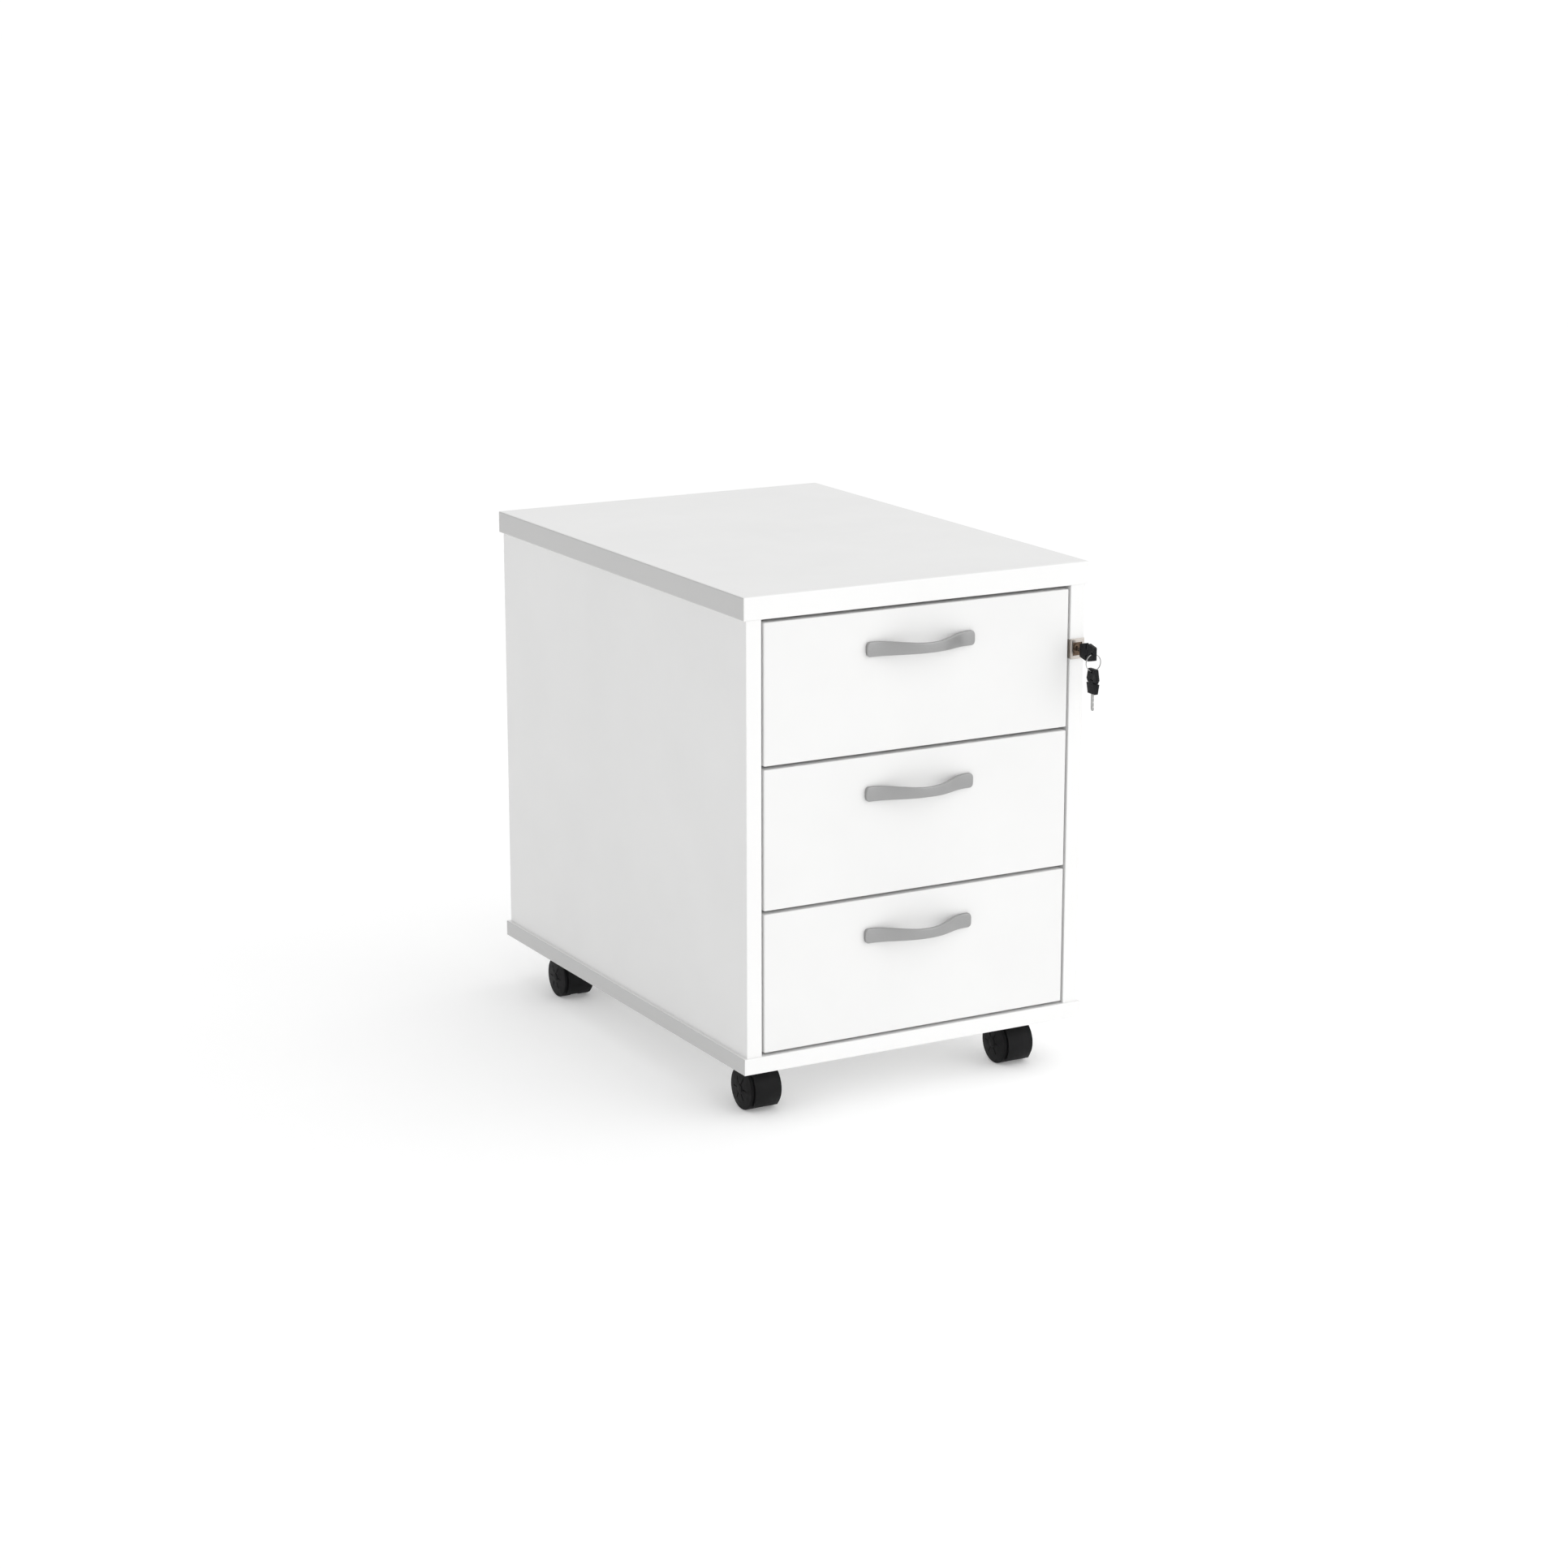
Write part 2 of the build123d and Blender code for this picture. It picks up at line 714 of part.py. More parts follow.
spare_hole_z = ring_z - ring_mid_radius - ring_play
spare_top_z = spare_hole_z + ring_hole_inset
hang = Pos(lock_x, ring_y, spare_top_z - head_length) * Rot(-90, 0, 0)
spare_blade, spare_inner, spare_outer, spare_hinge = key_parts()
save("spare_key_blade", hang * spare_blade, hang * spare_hinge)
save("spare_key_head", hang * spare_inner, hang * spare_outer)

# ---------------------------------------------------------------- castors


def castor_wheel(x, y, sign):
    """A wheel with a domed outer face, a hexagonal hub and radial grooves."""
    inner = wheel_inner_gap / 2
    outer = inner + wheel_width
    apex = outer - hub_proud
    rim = apex - wheel_dome
    shoulder = wheel_radius - wheel_shoulder
    softened = wheel_shoulder * (1 - math.sqrt(0.5))
    inner_bend = (inner + softened, wheel_radius - softened)
    outer_bend = (rim - softened, wheel_radius - softened)
    outline = [
        Line((inner, 0), (inner, shoulder)),
        ThreePointArc((inner, shoulder), inner_bend, (inner + wheel_shoulder, wheel_radius)),
        Line((inner + wheel_shoulder, wheel_radius), (rim - wheel_shoulder, wheel_radius)),
        ThreePointArc((rim - wheel_shoulder, wheel_radius), outer_bend, (rim, shoulder)),
        ThreePointArc((rim, shoulder), (apex - wheel_dome / 4, shoulder / 2), (apex, 0)),
        Line((apex, 0), (inner, 0)),
    ]
    wheel = revolve(make_face(outline), Axis.X, 360)
    hub = Pos(rim, 0, 0) * Rot(0, 90, 0) * extrude(RegularPolygon(hub_across / 2, 6), outer - rim)
    wheel = wheel + hub
    cut_depth = groove_floor + overrun
    for step in range(groove_count):
        turn = Rot(360 / groove_count * (step + 0.5), 0, 0)
        centre = Pos(outer - groove_floor + cut_depth / 2, 0, groove_middle_radius)
        wheel = wheel - turn * centre * Box(cut_depth, groove_width, groove_length)
    bore_end = outer - castor_axle_inset
    wheel = wheel - rod_x(0, bore_end, 0, 0, castor_axle_radius + running_clearance)
    if sign < 0:
        wheel = mirror(wheel, about=Plane.YZ)
    return Pos(x, y, wheel_radius) * wheel


def castor_hood(x, y):
    """The hood over both wheels, with the web that holds the axle and the boss for the king pin."""
    z = wheel_radius
    inner = wheel_radius + hood_clearance
    outer = inner + hood_wall
    half = hood_width / 2
    web_half = wheel_inner_gap / 2 - web_clearance
    low = math.radians(-hood_low_angle)
    back = math.radians(hood_back_angle)
    ends = ((-math.cos(low), math.sin(low)), (math.cos(back), math.sin(back)))
    arcs = []
    for radius in (inner, outer):
        start, end = [(c * radius, s * radius) for c, s in ends]
        arcs.append(ThreePointArc(start, (0, radius), end))
    caps = [Line(arcs[0] @ 0, arcs[1] @ 0), Line(arcs[0] @ 1, arcs[1] @ 1)]
    shell = extrude(make_face(arcs + caps), half, both=True)
    shell = Pos(x, y, z) * (Plane.YZ * shell)
    web = rod_x(x - web_half, x + web_half, y, z, wheel_radius - ground_clearance)
    fan = [Line((0, 0), arcs[0] @ 0), arcs[0], Line(arcs[0] @ 1, (0, 0))]
    web = web + Pos(x, y, z) * (Plane.YZ * extrude(make_face(fan), web_half, both=True))
    top_z = z + outer
    stem_y = y + castor_trail
    web = web + block(x - web_half, x + web_half, y, stem_y + boss_radius - hood_overlap,
                      z + rib_foot_above_axle, top_z - hood_overlap)
    boss = rod_z(x, stem_y, z + boss_foot_above_axle, top_z, boss_radius)
    gullet = rod_x(x + web_half, x + 3 * half, y, z, inner)
    boss = cut(boss, [gullet, rod_x(x - web_half, x - 3 * half, y, z, inner)])
    hood = shell + web + boss
    hood = hood - rod_x(x - web_half, x + web_half, y, z, castor_axle_radius)
    plate_foot = base_foot - castor_plate_thickness
    return hood - rod_z(x, stem_y, plate_foot - king_pin_depth - king_pin_room, plate_foot,
                        king_pin_radius + running_clearance)


def castor_plate(x, y):
    """The mounting plate with the king pin riveted into it."""
    plate_foot = base_foot - castor_plate_thickness
    half = castor_plate_side / 2
    stem_y = y + castor_trail
    plate = block(x - half, x + half, stem_y - half, stem_y + half, plate_foot, base_foot)
    plate = fillet(plate.edges().filter_by(Axis.Z), castor_plate_corner)
    plate = plate + rod_z(x, stem_y, plate_foot - king_pin_depth, plate_foot, king_pin_radius)
    return cut(plate, plate_screws)


for name, x, y in castor_places():
    save(f"{name}_castor_hood", castor_hood(x, y))
    save(f"{name}_castor_left_wheel", castor_wheel(x, y, -1))
    save(f"{name}_castor_right_wheel", castor_wheel(x, y, 1))

axle_reach = wheel_inner_gap / 2 + wheel_width - castor_axle_inset - axle_end_room
for name, x, y in castor_places():
    axle = rod_x(x - axle_reach, x + axle_reach, y, wheel_radius, castor_axle_radius)
    save(f"{name}_castor_axle", axle)
save("castor_plates", *[castor_plate(x, y) for _, x, y in castor_places()])
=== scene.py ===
import json
import math

import bmesh
import bpy
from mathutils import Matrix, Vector

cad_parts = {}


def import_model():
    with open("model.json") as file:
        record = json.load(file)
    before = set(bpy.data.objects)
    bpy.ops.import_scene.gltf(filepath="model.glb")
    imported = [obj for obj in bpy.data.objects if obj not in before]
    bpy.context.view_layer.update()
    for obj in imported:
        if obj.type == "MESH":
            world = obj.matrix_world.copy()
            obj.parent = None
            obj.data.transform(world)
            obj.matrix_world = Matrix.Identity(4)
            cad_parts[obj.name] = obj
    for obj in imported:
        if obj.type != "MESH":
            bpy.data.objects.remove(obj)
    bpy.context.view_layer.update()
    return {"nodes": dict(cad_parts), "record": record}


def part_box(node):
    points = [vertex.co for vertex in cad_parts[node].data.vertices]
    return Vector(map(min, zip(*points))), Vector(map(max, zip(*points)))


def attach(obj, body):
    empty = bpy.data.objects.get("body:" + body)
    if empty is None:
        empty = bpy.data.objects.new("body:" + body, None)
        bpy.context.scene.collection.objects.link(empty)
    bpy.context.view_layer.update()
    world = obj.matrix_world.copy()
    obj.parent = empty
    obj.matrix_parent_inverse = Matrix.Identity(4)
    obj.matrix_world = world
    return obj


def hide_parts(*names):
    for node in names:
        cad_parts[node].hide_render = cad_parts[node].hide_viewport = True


# A white drawer pedestal on black twin-wheel castors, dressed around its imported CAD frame.
# Everything is in metres: X along the drawer fronts, Y to the back, Z up from the floor.

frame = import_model()
nodes = frame["nodes"]
node_slots = {row["node"]: row["material_slot"] for row in frame["record"]["subparts"]}
node_body = {}
for body_name, members in frame["record"]["behaviour"]["bodies"].items():
    for member in members:
        node_body[member] = body_name

MM = 0.001
levels = ("upper", "middle", "lower")

# ---------------------------------------------------------------- materials


class Recipe:
    """A material's node tree, with short calls for the nodes that the recipes share."""

    def __init__(self, name, roughness, metallic=0.0):
        self.material = bpy.data.materials.new(name)
        self.material.use_nodes = True
        self.tree = self.material.node_tree
        self.shader = self.tree.nodes["Principled BSDF"]
        self.shader.inputs["Metallic"].default_value = metallic
        self.shader.inputs["Roughness"].default_value = roughness
        self.coords = self.tree.nodes.new("ShaderNodeTexCoord")
        self.height = None

    def node(self, kind, **settings):
        made = self.tree.nodes.new(kind)
        for key, value in settings.items():
            setattr(made, key, value)
        return made

    def link(self, source, target):
        self.tree.links.new(source, target)

    def noise(self, scale, detail=3.0, stretch=(1, 1, 1), roughness=0.5):
        """Noise in the object's own metres: scale counts features per metre."""
        mapping = self.node("ShaderNodeMapping")
        mapping.inputs["Scale"].default_value = stretch
        texture = self.node("ShaderNodeTexNoise")
        texture.inputs["Scale"].default_value = scale
        texture.inputs["Detail"].default_value = detail
        texture.inputs["Roughness"].default_value = roughness
        self.link(self.coords.outputs["Object"], mapping.inputs["Vector"])
        self.link(mapping.outputs["Vector"], texture.inputs["Vector"])
        return texture.outputs["Fac"]

    def ramp(self, source, low, high, start=0.3, stop=0.7):
        ramp = self.node("ShaderNodeValToRGB")
        ramp.color_ramp.elements[0].position = start
        ramp.color_ramp.elements[0].color = (*low, 1)
        ramp.color_ramp.elements[1].position = stop
        ramp.color_ramp.elements[1].color = (*high, 1)
        self.link(source, ramp.inputs["Fac"])
        return ramp.outputs["Color"]

    def colour(self, source):
        self.link(source, self.shader.inputs["Base Color"])

    def gloss(self, source, low, high):
        """Roughness that wanders between two values."""
        spread = self.node("ShaderNodeMapRange")
        spread.inputs["From Min"].default_value = 0.3
        spread.inputs["From Max"].default_value = 0.7
        spread.inputs["To Min"].default_value = low
        spread.inputs["To Max"].default_value = high
        self.link(source, spread.inputs["Value"])
        self.link(spread.outputs["Result"], self.shader.inputs["Roughness"])

    def bump(self, source, depth, strength=1.0):
        """Adds a bump of that depth, in metres, over the ones before it."""
        made = self.node("ShaderNodeBump")
        made.inputs["Distance"].default_value = depth
        made.inputs["Strength"].default_value = strength
        self.link(source, made.inputs["Height"])
        if self.height is not None:
            self.link(self.height, made.inputs["Normal"])
        self.height = made.outputs["Normal"]
        self.link(self.height, self.shader.inputs["Normal"])


# Features per metre of the noise that each recipe uses
BOARD_CLOUDS = 9.0
BOARD_PEARL = 850.0
BOARD_WEAR = 40.0
PLATED_CLOUDS = 130.0
PLATED_MARKS = 300.0
PLATED_GRAIN = 900.0
COATED_CLOUDS = 25.0
COATED_PEEL = 1100.0
MOULDED_CLOUDS = 60.0
MOULDED_WEAR = 220.0
FLOOR_CLOUDS = 2.0

# Depths of the bumps, in metres
PEARL_DEPTH = 0.00004
BRUSHED_DEPTH = 0.00002
PLATED_DEPTH = 0.00001
PEEL_DEPTH = 0.00005
SPARK_DEPTH = 0.00006

FACING_IOR = 1.5


def tint(colour, factor):
    return tuple(min(1.0, channel * factor) for channel in colour)


def melamine(name, colour, roughness):
    """Faced board: a faint cloudy tone, a fine pearl texture and slightly uneven gloss."""
    recipe = Recipe(name, roughness)
    clouds = recipe.noise(BOARD_CLOUDS, detail=4.0)
    recipe.colour(recipe.ramp(clouds, tint(colour, 0.985), tint(colour, 1.01)))
    pearl = recipe.noise(BOARD_PEARL, detail=2.0)
    recipe.gloss(recipe.noise(BOARD_WEAR), roughness - 0.03, roughness + 0.04)
    recipe.bump(pearl, PEARL_DEPTH, 0.35)
    recipe.shader.inputs["IOR"].default_value = FACING_IOR
    return recipe.material


def edging(name, colour, roughness):
    """Plastic edging: even in colour, with a faint cloudy tone."""
    recipe = Recipe(name, roughness)
    clouds = recipe.noise(BOARD_CLOUDS, detail=2.0)
    recipe.colour(recipe.ramp(clouds, tint(colour, 0.99), tint(colour, 1.005)))
    recipe.shader.inputs["IOR"].default_value = FACING_IOR
    return recipe.material


def brushed(name, colour, roughness, grain, along=(1, 22, 22)):
    """Metal with a fine grain: the noise is stretched along one axis."""
    recipe = Recipe(name, roughness, metallic=1.0)
    lines = recipe.noise(grain, detail=5.0, stretch=along, roughness=0.65)
    recipe.colour(recipe.ramp(lines, tint(colour, 0.9), tint(colour, 1.07)))
    recipe.gloss(lines, roughness - 0.05, roughness + 0.08)
    recipe.bump(lines, BRUSHED_DEPTH, 0.5)
    return recipe.material


def plated(name, colour, roughness):
    """Plated steel: even colour with faint clouding and small handling marks."""
    recipe = Recipe(name, roughness, metallic=1.0)
    clouds = recipe.noise(PLATED_CLOUDS, detail=4.0)
    recipe.colour(recipe.ramp(clouds, tint(colour, 0.9), tint(colour, 1.06)))
    recipe.gloss(recipe.noise(PLATED_MARKS), roughness - 0.06, roughness + 0.1)
    recipe.bump(recipe.noise(PLATED_GRAIN), PLATED_DEPTH, 0.5)
    return recipe.material


def coated(name, colour, roughness):
    """Epoxy powder coat on sheet steel: a fine orange peel."""
    recipe = Recipe(name, roughness)
    clouds = recipe.noise(COATED_CLOUDS)
    recipe.colour(recipe.ramp(clouds, tint(colour, 0.97), tint(colour, 1.02)))
    recipe.gloss(clouds, roughness - 0.04, roughness + 0.05)
    recipe.bump(recipe.noise(COATED_PEEL, detail=2.0), PEEL_DEPTH, 0.5)
    return recipe.material


def moulded(name, colour, roughness, grain=1300.0, shine=0.5):
    """Moulded plastic: a fine spark texture, with gloss rubbed a little uneven."""
    recipe = Recipe(name, roughness)
    clouds = recipe.noise(MOULDED_CLOUDS, detail=4.0)
    recipe.colour(recipe.ramp(clouds, tint(colour, 0.8), tint(colour, 1.25)))
    recipe.gloss(recipe.noise(MOULDED_WEAR, detail=4.0), roughness - 0.07, roughness + 0.09)
    recipe.bump(recipe.noise(grain, detail=2.0), SPARK_DEPTH, 0.6)
    recipe.shader.inputs["Specular IOR Level"].default_value = shine
    return recipe.material


WHITE = (0.855, 0.855, 0.85)
finishes = {
    "top_board": melamine("top_melamine", WHITE, 0.38),
    "carcass_board": melamine("carcass_melamine", WHITE, 0.42),
    "front_board": melamine("front_melamine", WHITE, 0.40),
    "drawer_board": melamine("drawer_melamine", (0.80, 0.80, 0.79), 0.5),
    "satin_handle": brushed("satin_nickel", (0.37, 0.37, 0.37), 0.34, 260.0),
    "coated_steel": coated("coated_steel", (0.78, 0.78, 0.77), 0.38),
    "zinc_steel": plated("zinc_plate", (0.62, 0.62, 0.60), 0.34),
    "white_nylon": moulded("white_nylon", (0.80, 0.80, 0.78), 0.45),
    "lock_nickel": brushed("lock_nickel", (0.60, 0.56, 0.52), 0.30, 500.0, along=(1, 1, 14)),
    "lock_bronze": plated("lock_bronze", (0.15, 0.105, 0.075), 0.34),
    "key_steel": plated("key_steel", (0.46, 0.46, 0.455), 0.24),
    "key_plastic": moulded("key_plastic", (0.007, 0.0075, 0.009), 0.42, shine=0.14),
    "castor_hood": moulded("castor_hood_nylon", (0.0075, 0.0075, 0.008), 0.45, shine=0.13),
    "castor_wheel": moulded("castor_wheel_nylon", (0.0055, 0.0055, 0.006), 0.50, shine=0.11),
}
# The second edging below is a copy of the first, darkened as painted shade for the board edges that face left
# and right; the first is the plain white edging.
edge_front = edging("front_edging", (0.90, 0.90, 0.895), 0.38)
edge_side_painted_shade = edging("side_edging_painted_shade", (0.59, 0.59, 0.585), 0.38)

for node_name, node_object in nodes.items():
    finish = finishes[node_slots[node_name]]
    if not node_object.data.materials:
        node_object.data.materials.append(finish)
    for index in range(len(node_object.material_slots)):
        node_object.material_slots[index].material = finish

# ---------------------------------------------------------------- piece builders


def add_piece(name, mesh, body, material, replaced=()):
    """Links a finished mesh as a piece that rides on a body, and stands for the CAD nodes it replaces."""
    mesh.materials.clear()
    mesh.materials.append(material)
    piece = bpy.data.objects.new(name, mesh)
    bpy.context.scene.collection.objects.link(piece)
    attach(piece, body)
    if replaced:
        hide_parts(*replaced)
    return piece


def smooth(mesh, angle=32):
    mesh.shade_smooth()
    mesh.set_sharp_from_angle(angle=math.radians(angle))


def rings_to_mesh(name, rings, close_ends=True):
    """A skin over rings of points, all with the same count, closed by a fan at each end."""
    made = bmesh.new()
    loops = [[made.verts.new(point) for point in ring] for ring in rings]
    count = len(loops[0])
    for first, second in zip(loops, loops[1:]):
        for index in range(count):
            after = (index + 1) % count
            made.faces.new((first[index], first[after], second[after], second[index]))
    if close_ends:
        for loop in (loops[0], loops[-1]):
            centre = made.verts.new(sum((vert.co for vert in loop), Vector()) / count)
            for index in range(count):
                made.faces.new((loop[index], loop[(index + 1) % count], centre))
    bmesh.ops.recalc_face_normals(made, faces=made.faces)
    mesh = bpy.data.meshes.new(name)
    made.to_mesh(mesh)
    made.free()
    return mesh


def rounded_section(half_a, half_b, radius, steps=4):
    """Points of a rectangle with rounded corners, in two coordinates."""
    points = []
    for quarter in range(4):
        centre_a = (half_a - radius) * (1 if quarter in (0, 3) else -1)
        centre_b = (half_b - radius) * (1 if quarter in (0, 1) else -1)
        for step in range(steps + 1):
            turn = math.pi / 2 * (quarter + step / steps)
            points.append((centre_a + radius * math.cos(turn), centre_b + radius * math.sin(turn)))
    return points


# ---------------------------------------------------------------- handles

HANDLE_FOOT = 6 * MM
HANDLE_DEPTH = 22 * MM
HANDLE_FULLNESS = 1.1
HANDLE_THICKNESS = 4.5 * MM
HANDLE_END_HALF = 8 * MM
HANDLE_MID_HALF = 5.5 * MM
HANDLE_CORNER = 3.5 * MM
HANDLE_STATIONS = 84
HANDLE_EDGE_RADIUS = 1.1 * MM
HANDLE_SMOOTH_ANGLE = 50
SLOPE_STEP = 1e-5
LIP_SHARE = 0.86
LIP_REACH = 0.35 * MM


def handle_bow(x, half):
    share = min(abs(x) / (half - HANDLE_FOOT), 1.0) ** HANDLE_FULLNESS
    return HANDLE_THICKNESS / 2 + HANDLE_DEPTH / 2 * (1 + math.cos(math.pi * share))


def handle_half_height(x, half):
    """Half the bar's height: waisted in the middle, rounded off at the feet's corners."""
    share = min(abs(x) / (half - HANDLE_FOOT), 1.0)
    flare = (1 - math.cos(math.pi * share)) / 2
    height = HANDLE_MID_HALF + (HANDLE_END_HALF - HANDLE_MID_HALF) * flare
    past = abs(x) - (half - HANDLE_CORNER)
    if past > 0:
        height -= HANDLE_CORNER - math.sqrt(max(HANDLE_CORNER**2 - past**2, 0.0))
    return height


def handle_mesh(name, low, high):
    """A bowed flat bar with softened edges, lofted along X between its two feet."""
    half = (high.x - low.x) / 2
    middle = Vector(((low.x + high.x) / 2, high.y, (low.z + high.z) / 2))
    rings = []
    for index in range(HANDLE_STATIONS + 1):
        x = half * math.sin(math.pi / 2 * (2 * index / HANDLE_STATIONS - 1))
        rise = handle_bow(x + SLOPE_STEP, half) - handle_bow(x - SLOPE_STEP, half)
        slope = rise / (2 * SLOPE_STEP)
        normal = Vector((-slope, -1, 0)).normalized()
        tall = handle_half_height(x, half)
        section = rounded_section(HANDLE_THICKNESS / 2, tall, HANDLE_EDGE_RADIUS)
        centre = middle + Vector((x, -handle_bow(x, half), 0))
        rings.append([centre + normal * a + Vector((0, 0, b)) for a, b in section])
    for ring, side in ((rings[0], -1), (rings[-1], 1)):
        centre = sum(ring, Vector()) / len(ring)
        reach = Vector((side * LIP_REACH, 0, 0))
        lip = [centre + (point - centre) * LIP_SHARE + reach for point in ring]
        rings.insert(0 if side < 0 else len(rings), lip)
    mesh = rings_to_mesh(name, rings)
    smooth(mesh, HANDLE_SMOOTH_ANGLE)
    return mesh


for level in levels:
    node = f"{level}_drawer_handle"
    mesh = handle_mesh(f"{level}_bow_handle", *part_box(node))
    add_piece(f"{level}_bow_handle", mesh, f"{level}_drawer",
              finishes["satin_handle"], (node,))

# ---------------------------------------------------------------- key ring and key blades

WIRE = 0.36 * MM
RING_TURNS = 2.0
RING_STEPS = 144
WIRE_CORNER = 0.98 * WIRE
RING_SMOOTH_ANGLE = 60


def split_ring_mesh(low, high):
    """A sprung key ring: flat-wound wire that goes round twice, its two turns lying together."""
    centre = (low + high) / 2
    radius = (high.x - low.x) / 2 - 2 * WIRE
    rings = []
    for step in range(RING_STEPS + 1):
        turn = 2 * math.pi * RING_TURNS * step / RING_STEPS
        across = 2 * WIRE * (turn / (2 * math.pi) - RING_TURNS / 2)
        out = Vector((math.sin(turn), 0, math.cos(turn)))
        place = centre + out * radius + Vector((0, across, 0))
        ring = []
        for a, b in rounded_section(WIRE, WIRE, WIRE_CORNER, steps=2):
            ring.append(place + out * a + Vector((0, b, 0)))
        rings.append(ring)
    mesh = rings_to_mesh("split_ring", rings)
    smooth(mesh, RING_SMOOTH_ANGLE)
    return mesh


add_piece("split_ring", split_ring_mesh(*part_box("key_ring")), "key_ring",
          finishes["key_steel"], ("key_ring",))

BLADE_THICKNESS = 1.6 * MM
BLADE_HALF = 2.2 * MM
BLADE_GROOVE = 0.35 * MM
BLADE_STATIONS = 90
BLADE_SMOOTH_ANGLE = 25
BLADE_IN_HEAD = 4 * MM
BITTING = (0.3, 0.8, 0.5, 0.9, 0.4, 0.7)
BITTING_PITCH = 2.6 * MM
BITTING_START = 2.2 * MM
BITTING_HEAD_GAP = 3.5 * MM
BITTING_FLAT = 0.45
NOSE_LENGTH = 2.4 * MM
NOSE_ROUND = 0.75
NOSE_THINNING = 0.35
GROOVE_SHARE = 0.5
GROOVE_LOW = -0.9 * MM
GROOVE_FLOOR_LOW = -0.6 * MM
GROOVE_FLOOR_HIGH = 0.3 * MM
GROOVE_HIGH = 0.6 * MM


def bitting_depth(along, length):
    """How deep the cut edge is at a distance from the tip: flats joined by slopes, none near the head."""
    place = (along - BITTING_START) / BITTING_PITCH
    if place < 0 or along > length - BITTING_HEAD_GAP:
        return 0.0
    index = int(place)
    if index >= len(BITTING):
        return 0.0
    part = place - index
    here = BITTING[index]
    after = BITTING[index + 1] if index + 1 < len(BITTING) else 0.0
    blend = min(max((part - BITTING_FLAT) / (1 - BITTING_FLAT), 0.0), 1.0)
    return (here + (after - here) * blend) * MM


def blade_mesh(name, tip, along, across, length):
    """A flat key blade from its rounded tip towards the head, grooved down both faces and cut on one edge."""
    through = Vector((1, 0, 0))
    half = BLADE_THICKNESS / 2
    rings = []
    for index in range(BLADE_STATIONS + 1):
        u = length * index / BLADE_STATIONS
        nose = max(1 - u / NOSE_LENGTH, 0.0)
        round_off = BLADE_HALF * NOSE_ROUND * (1 - math.sqrt(max(1 - nose**2, 0.0)))
        low = -BLADE_HALF + round_off
        top = BLADE_HALF - max(round_off, bitting_depth(u, length))
        thin = half * (1 - NOSE_THINNING * nose)
        floor_at = thin - min(BLADE_GROOVE, thin * GROOVE_SHARE)
        side = [(thin, low), (thin, GROOVE_LOW), (floor_at, GROOVE_FLOOR_LOW),
                (floor_at, GROOVE_FLOOR_HIGH), (thin, GROOVE_HIGH), (thin, top)]
        profile = [(-t, w) for t, w in side] + side[::-1]
        rings.append([tip + along * u + through * t + across * w for t, w in profile])
    mesh = rings_to_mesh(name, rings)
    smooth(mesh, BLADE_SMOOTH_ANGLE)
    return mesh


def key_blades():
    low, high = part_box("key_blade")
    centre = (low + high) / 2
    head_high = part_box("key_inner_head")[1]
    tip = Vector((centre.x, high.y, centre.z))
    mesh = blade_mesh("lock_key_blade", tip, Vector((0, -1, 0)), Vector((0, 0, 1)),
                      high.y - head_high.y + BLADE_IN_HEAD)
    add_piece("lock_key_blade", mesh, "key", finishes["key_steel"], ("key_blade",))
    low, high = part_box("spare_key_blade")
    head_low, head_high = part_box("spare_key_head")
    centre = (head_low + head_high) / 2
    tip = Vector((centre.x, centre.y, low.z))
    mesh = blade_mesh("spare_blade", tip, Vector((0, 0, 1)), Vector((0, -1, 0)),
                      head_low.z - low.z + BLADE_IN_HEAD)
    add_piece("spare_blade", mesh, "spare_key", finishes["key_steel"], ("spare_key_blade",))


key_blades()

# ---------------------------------------------------------------- softened copies of small CAD parts


def softened(node, width, slot_name, segments=3, angle=35):
    """The CAD part's own shape with its sharp edges rounded, as a piece that stands for it."""
    source = nodes[node]
    made = bmesh.new()
    made.from_mesh(source.data)
    bmesh.ops.remove_doubles(made, verts=made.verts, dist=MELT_DISTANCE)
    bmesh.ops.dissolve_limit(made, angle_limit=math.radians(FLAT_ANGLE), verts=made.verts,
                             edges=made.edges)
    mesh = bpy.data.meshes.new(f"{node}_moulded")
    made.to_mesh(mesh)
    made.free()
    piece = bpy.data.objects.new(f"{node}_moulded", mesh)
    bpy.context.scene.collection.objects.link(piece)
    bevel = piece.modifiers.new("edges", "BEVEL")
    bevel.width = width
    bevel.segments = segments
    bevel.limit_method = "ANGLE"
    bevel.angle_limit = math.radians(angle)
    bevel.use_clamp_overlap = True
    settled = piece.evaluated_get(bpy.context.evaluated_depsgraph_get())
    final = bpy.data.meshes.new_from_object(settled)
    bpy.data.objects.remove(piece)
    smooth(final, SOFT_SMOOTH_ANGLE)
    add_piece(f"{node}_moulded", final, node_body[node], finishes[slot_name], (node,))


MELT_DISTANCE = 1e-6
FLAT_ANGLE = 0.5
SOFT_SMOOTH_ANGLE = 40
SOFT_EDGES = {"castor_hood": 0.5 * MM, "castor_wheel": 0.25 * MM, "key_plastic": 0.35 * MM,
              "lock_nickel": 0.3 * MM, "lock_bronze": 0.2 * MM}
for node, slot_name in node_slots.items():
    if slot_name in SOFT_EDGES:
        softened(node, SOFT_EDGES[slot_name], slot_name)

RECESS_HALF_HEIGHT = 7.4 * MM
RECESS_MARGIN = 0.4 * MM
RECESS_START = 0.4 * MM
RECESS_END = 3.4 * MM


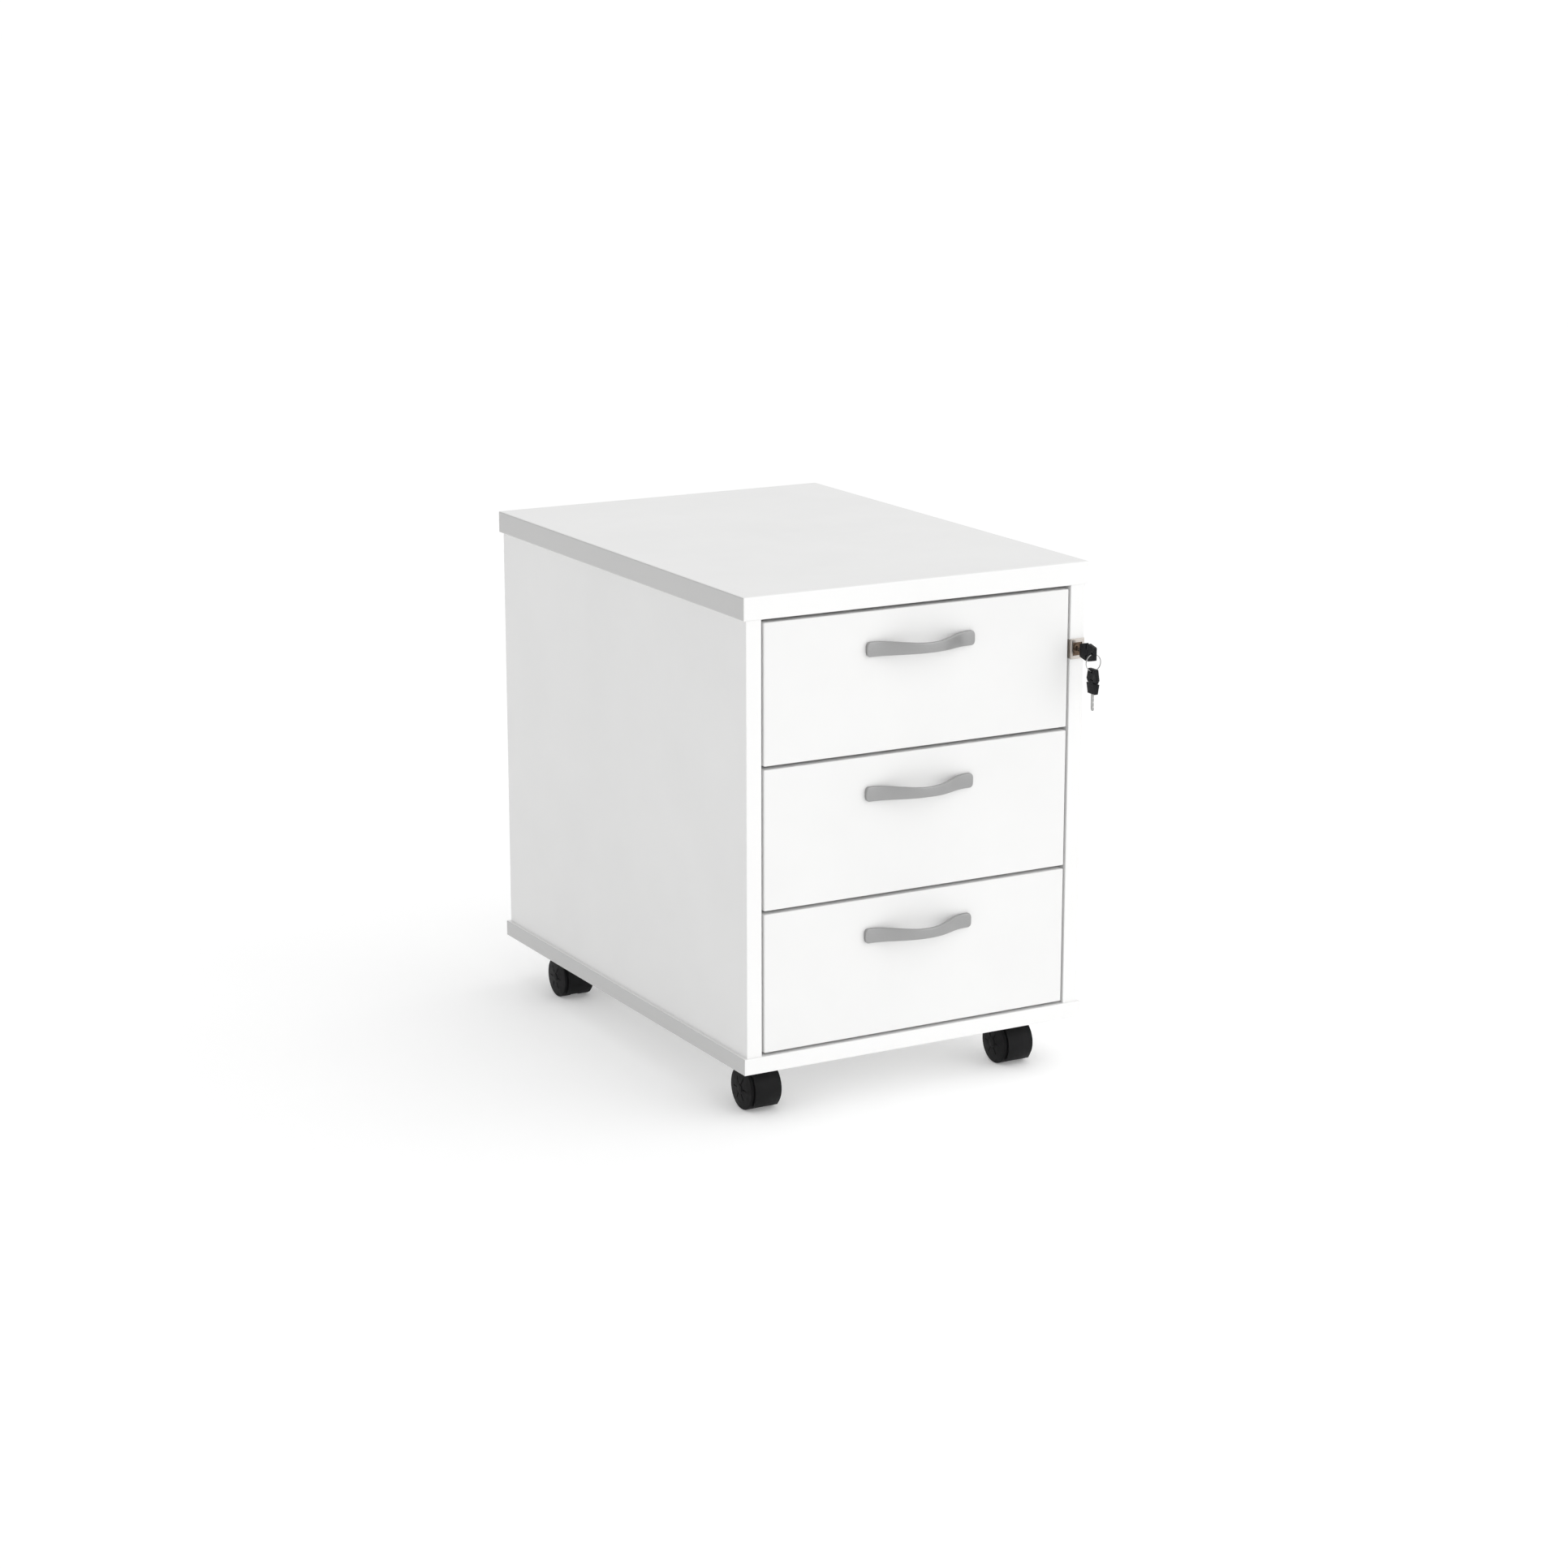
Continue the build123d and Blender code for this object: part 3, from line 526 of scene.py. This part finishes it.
def darken_recess():
    """The recess in the lock plate has the cylinder's dark finish."""
    low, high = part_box("lock_cylinder")
    centre = (low + high) / 2
    half_width = (high.x - low.x) / 2 + RECESS_MARGIN
    plate_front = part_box("lock_housing")[0].y
    mesh = bpy.data.objects["lock_housing_moulded"].data
    mesh.materials.append(finishes["lock_bronze"])
    for face in mesh.polygons:
        place = face.center
        across = abs(place.x - centre.x) < half_width and abs(place.z - centre.z) < RECESS_HALF_HEIGHT
        if across and plate_front + RECESS_START < place.y < plate_front + RECESS_END:
            face.material_index = 1


darken_recess()

# ---------------------------------------------------------------- edged boards

AXES = {"x": 0, "y": 1, "z": 2}


def edged(node, edges):
    """The board's own shape, with the material that edges gives for each direction it names."""
    mesh = nodes[node].data.copy()
    mesh.name = f"{node}_edged"
    piece = add_piece(f"{node}_edged", mesh, node_body[node],
                      finishes[node_slots[node]], (node,))
    chosen = {}
    for key, material in edges.items():
        axis, sign = AXES[key[1]], 1 if key[0] == "+" else -1
        if material.name not in mesh.materials:
            mesh.materials.append(material)
        chosen[axis, sign] = mesh.materials.find(material.name)
    for face in mesh.polygons:
        axis = max(range(3), key=lambda i: abs(face.normal[i]))
        sign = 1 if face.normal[axis] > 0 else -1
        face.material_index = chosen.get((axis, sign), 0)
    return piece


# On the top and base boards, the edges facing left and right take the darkened edging copy (painted shade),
# and the front and back edges take the plain edging.
for board in ("top_panel", "base_panel"):
    edged(board, {"-y": edge_front, "+y": edge_front, "-x": edge_side_painted_shade, "+x": edge_side_painted_shade})
for side in ("left", "right"):
    edged(f"{side}_side_panel", {"-y": edge_front})
for level in levels:
    edged(f"{level}_drawer_front", {"-x": edge_front, "+x": edge_front,
                                    "-z": edge_front, "+z": edge_front})

# ---------------------------------------------------------------- floor, light and camera

# The camera stands to the front left, a little above the top, and looks down at the pedestal.
CAMERA_AT = (-1.8944, -3.3818, 1.2666)
CAMERA_YAW = math.radians(29.134)
CAMERA_DOWN = math.radians(14.202)
CAMERA_LENS = 80.55
CAMERA_SENSOR = 36.0
CAMERA_FAR = 200.0

camera_data = bpy.data.cameras.new("camera")
camera_data.lens = CAMERA_LENS
camera_data.sensor_width = CAMERA_SENSOR
camera_data.clip_end = CAMERA_FAR
camera = bpy.data.objects.new("camera", camera_data)
camera.location = CAMERA_AT
camera.rotation_euler = (math.pi / 2 - CAMERA_DOWN, 0, -CAMERA_YAW)
bpy.context.scene.collection.objects.link(camera)
bpy.context.scene.camera = camera

bpy.context.scene.view_settings.view_transform = "Standard"


FLOOR_HALF = 30.0
FLOOR_GLOW = 0.2
FLOOR_DARK = (0.90, 0.90, 0.90)
FLOOR_LIGHT = (0.92, 0.92, 0.92)
FLOOR_ROUGHNESS = 0.9
FLOOR_SHINE = 0.1
WHITE_LIGHT = (1, 1, 1, 1)


def floor():
    half = FLOOR_HALF
    mesh = bpy.data.meshes.new("floor")
    mesh.from_pydata([(-half, -half, 0), (half, -half, 0), (half, half, 0), (-half, half, 0)], [],
                     [(0, 1, 2, 3)])
    plane = bpy.data.objects.new("floor", mesh)
    bpy.context.scene.collection.objects.link(plane)
    recipe = Recipe("studio_floor", FLOOR_ROUGHNESS)
    recipe.colour(recipe.ramp(recipe.noise(FLOOR_CLOUDS), FLOOR_DARK, FLOOR_LIGHT))
    recipe.shader.inputs["Specular IOR Level"].default_value = FLOOR_SHINE
    recipe.shader.inputs["Emission Color"].default_value = WHITE_LIGHT
    recipe.shader.inputs["Emission Strength"].default_value = FLOOR_GLOW
    mesh.materials.append(recipe.material)


def area_light(name, at, target, size, power):
    data = bpy.data.lights.new(name, "AREA")
    data.shape = "RECTANGLE"
    data.size, data.size_y = size
    data.energy = power
    light = bpy.data.objects.new(name, data)
    light.location = at
    light.rotation_euler = (Vector(target) - Vector(at)).to_track_quat("-Z", "Y").to_euler()
    bpy.context.scene.collection.objects.link(light)


# How the room's light grows towards +X, +Y and +Z, and its middle level
LIGHT_SLOPE = (0.40, -0.28, 0.0)
LIGHT_LEVEL = 0.90
BACKDROP_LEVEL = 1.05


def world():
    """A white room, plain white behind the object, whose light is stronger from the front and right."""
    made = bpy.data.worlds.new("studio")
    bpy.context.scene.world = made
    made.use_nodes = True
    tree = made.node_tree
    tree.nodes.clear()
    paths = tree.nodes.new("ShaderNodeLightPath")
    seen = tree.nodes.new("ShaderNodeBackground")
    seen.inputs["Color"].default_value = WHITE_LIGHT
    seen.inputs["Strength"].default_value = BACKDROP_LEVEL
    lit = tree.nodes.new("ShaderNodeBackground")
    lit.inputs["Color"].default_value = WHITE_LIGHT
    coords = tree.nodes.new("ShaderNodeTexCoord")
    slope = tree.nodes.new("ShaderNodeVectorMath")
    slope.operation = "DOT_PRODUCT"
    slope.inputs[1].default_value = LIGHT_SLOPE
    lift = tree.nodes.new("ShaderNodeMath")
    lift.operation = "ADD"
    lift.inputs[1].default_value = LIGHT_LEVEL
    tree.links.new(coords.outputs["Generated"], slope.inputs[0])
    tree.links.new(slope.outputs["Value"], lift.inputs[0])
    tree.links.new(lift.outputs["Value"], lit.inputs["Strength"])
    mix = tree.nodes.new("ShaderNodeMixShader")
    out = tree.nodes.new("ShaderNodeOutputWorld")
    tree.links.new(paths.outputs["Is Camera Ray"], mix.inputs["Fac"])
    tree.links.new(lit.outputs["Background"], mix.inputs[1])
    tree.links.new(seen.outputs["Background"], mix.inputs[2])
    tree.links.new(mix.outputs["Shader"], out.inputs["Surface"])


floor()
world()
MIDDLE = (0, 0, 0.3)
KEY_AT, KEY_SIZE, KEY_POWER = (1.6, -3.4, 1.9), (2.4, 1.8), 6.0
OVERHEAD_AT, OVERHEAD_SIZE, OVERHEAD_POWER = (0.2, 0.2, 3.2), (2.6, 2.6), 4.0
area_light("front_key", KEY_AT, MIDDLE, KEY_SIZE, KEY_POWER)
area_light("overhead", OVERHEAD_AT, MIDDLE, OVERHEAD_SIZE, OVERHEAD_POWER)
